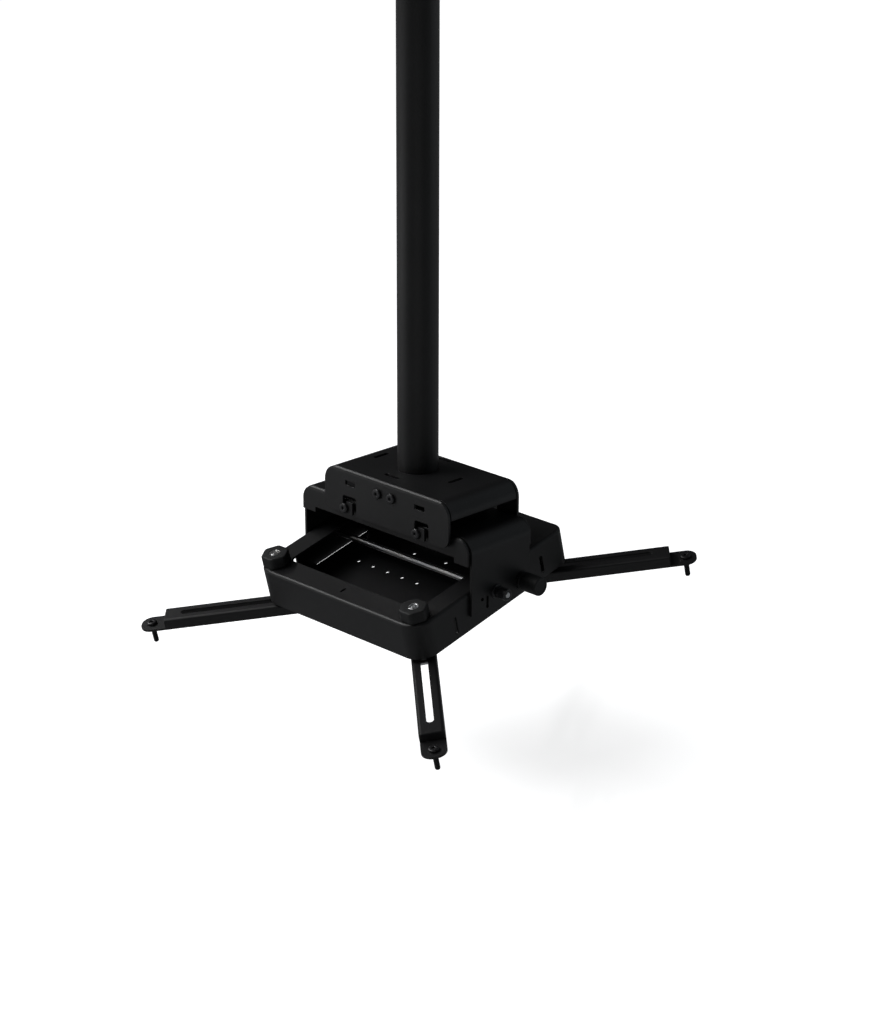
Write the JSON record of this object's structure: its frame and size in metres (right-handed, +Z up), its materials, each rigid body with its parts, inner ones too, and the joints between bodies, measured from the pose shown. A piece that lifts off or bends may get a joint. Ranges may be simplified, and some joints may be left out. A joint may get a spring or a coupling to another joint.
{
  "type": "projector ceiling mount",
  "caption": "Black steel projector ceiling mount: round column, swivelling folded bracket, tilting tray with slotted arms that swing and slide, hex knobs and a tilt lock knob.",
  "frame": {"origin": "centre of the ceiling plate's top face, on the column's axis", "axes": "+Z up into the ceiling; the mount's front, with the cap bracket's screws, faces -Y; +X is the side with the tilt lock knob"},
  "size_m": [0.402, 0.3568, 0.6665],
  "materials": {
    "black_paint": "satin black powder coat, fine grain",
    "dark_hardware": "blackened steel, slightly glossy",
    "bright_steel": "bright zinc-plated steel",
    "black_plastic": "moulded black plastic, satin"
  },
  "bodies": {
    "column": {"ceiling_plate": "black_paint", "ceiling_lock_screws": "dark_hardware", "column_tube": "black_paint", "column_foot": "black_paint"},
    "head": {"cap_bracket": "black_paint", "swivel_brake": "black_paint", "brake_screws": "dark_hardware", "yoke_bracket": "black_paint", "hook_screws": "dark_hardware", "hook_spacers": "dark_hardware", "hook_nuts": "dark_hardware", "tilt_axle": "bright_steel", "axle_nut_left": "dark_hardware", "axle_nut_right": "dark_hardware", "pivot_washers": "dark_hardware", "tilt_knob_washer": "dark_hardware", "tilt_lock_nut": "dark_hardware"},
    "tray": {"tray_shell": "black_paint", "floor_plate": "black_paint", "bolt_sleeve_left": "dark_hardware", "bolt_sleeve_right": "dark_hardware", "arm_spacer_front_left": "dark_hardware", "arm_spacer_front_right": "dark_hardware", "arm_spacer_rear_left": "dark_hardware", "arm_spacer_rear_right": "dark_hardware"},
    "tilt_lock": {"tilt_knob": "black_plastic"},
    "bolt_front_left": {"arm_bolt_front_left": "bright_steel"},
    "arm_front_left": {"arm_front_left": "black_paint", "arm_screw_front_left": "dark_hardware"},
    "hex_knob_left": {"hex_knob_left": "black_plastic", "knob_insert_left": "bright_steel"},
    "bolt_front_right": {"arm_bolt_front_right": "bright_steel"},
    "arm_front_right": {"arm_front_right": "black_paint", "arm_screw_front_right": "dark_hardware"},
    "hex_knob_right": {"hex_knob_right": "black_plastic", "knob_insert_right": "bright_steel"},
    "bolt_rear_left": {"arm_bolt_rear_left": "bright_steel", "rear_nut_left": "dark_hardware"},
    "arm_rear_left": {"arm_rear_left": "black_paint", "arm_screw_rear_left": "dark_hardware"},
    "bolt_rear_right": {"arm_bolt_rear_right": "bright_steel", "rear_nut_right": "dark_hardware"},
    "arm_rear_right": {"arm_rear_right": "black_paint", "arm_screw_rear_right": "dark_hardware"}
  },
  "joints": [
    {"name": "swivel", "type": "hinge", "parent": "column", "child": "head", "pos_m": [0, 0, -0.4865], "axis": [0, 0, 1], "continuous": true},
    {"name": "tilt", "type": "hinge", "parent": "head", "child": "tray", "pos_m": [0, -0.00947, -0.57147], "axis": [1, 0, 0], "range_deg": [-23.78, 6.22]},
    {"name": "tilt_knob_turn", "type": "hinge", "parent": "head", "child": "tilt_lock", "pos_m": [0.1215, 0.02381, -0.57031], "axis": [1, 0, 0], "continuous": true},
    {"name": "arm_swing_front_left", "type": "hinge", "parent": "tray", "child": "bolt_front_left", "pos_m": [-0.0915, -0.08384, -0.61669], "axis": [0, -0.2382, 0.9712], "range_deg": [-60, 60]},
    {"name": "arm_slide_front_left", "type": "slide", "parent": "bolt_front_left", "child": "arm_front_left", "axis": [-0.7407, -0.6525, -0.16], "range_m": [-0.065, 0.0095]},
    {"name": "hex_knob_turn_left", "type": "hinge", "parent": "bolt_front_left", "child": "hex_knob_left", "pos_m": [-0.0915, -0.09484, -0.57182], "axis": [0, -0.2382, 0.9712], "continuous": true},
    {"name": "arm_swing_front_right", "type": "hinge", "parent": "tray", "child": "bolt_front_right", "pos_m": [0.0915, -0.08384, -0.61669], "axis": [0, -0.2382, 0.9712], "range_deg": [-60, 60]},
    {"name": "arm_slide_front_right", "type": "slide", "parent": "bolt_front_right", "child": "arm_front_right", "axis": [0.7407, -0.6525, -0.16], "range_m": [-0.0698, 0.0047]},
    {"name": "hex_knob_turn_right", "type": "hinge", "parent": "bolt_front_right", "child": "hex_knob_right", "pos_m": [0.0915, -0.09484, -0.57182], "axis": [0, -0.2382, 0.9712], "continuous": true},
    {"name": "arm_swing_rear_left", "type": "hinge", "parent": "tray", "child": "bolt_rear_left", "pos_m": [-0.0915, 0.07738, -0.57715], "axis": [0, -0.2382, 0.9712], "range_deg": [-60, 60]},
    {"name": "arm_slide_rear_left", "type": "slide", "parent": "bolt_rear_left", "child": "arm_rear_left", "axis": [-0.7407, 0.6525, 0.16], "range_m": [-0.065, 0.0095]},
    {"name": "arm_swing_rear_right", "type": "hinge", "parent": "tray", "child": "bolt_rear_right", "pos_m": [0.0915, 0.07738, -0.57715], "axis": [0, -0.2382, 0.9712], "range_deg": [-60, 60]},
    {"name": "arm_slide_rear_right", "type": "slide", "parent": "bolt_rear_right", "child": "arm_rear_right", "axis": [0.7407, 0.6525, 0.16], "range_m": [-0.0622, 0.0123]}
  ]
}
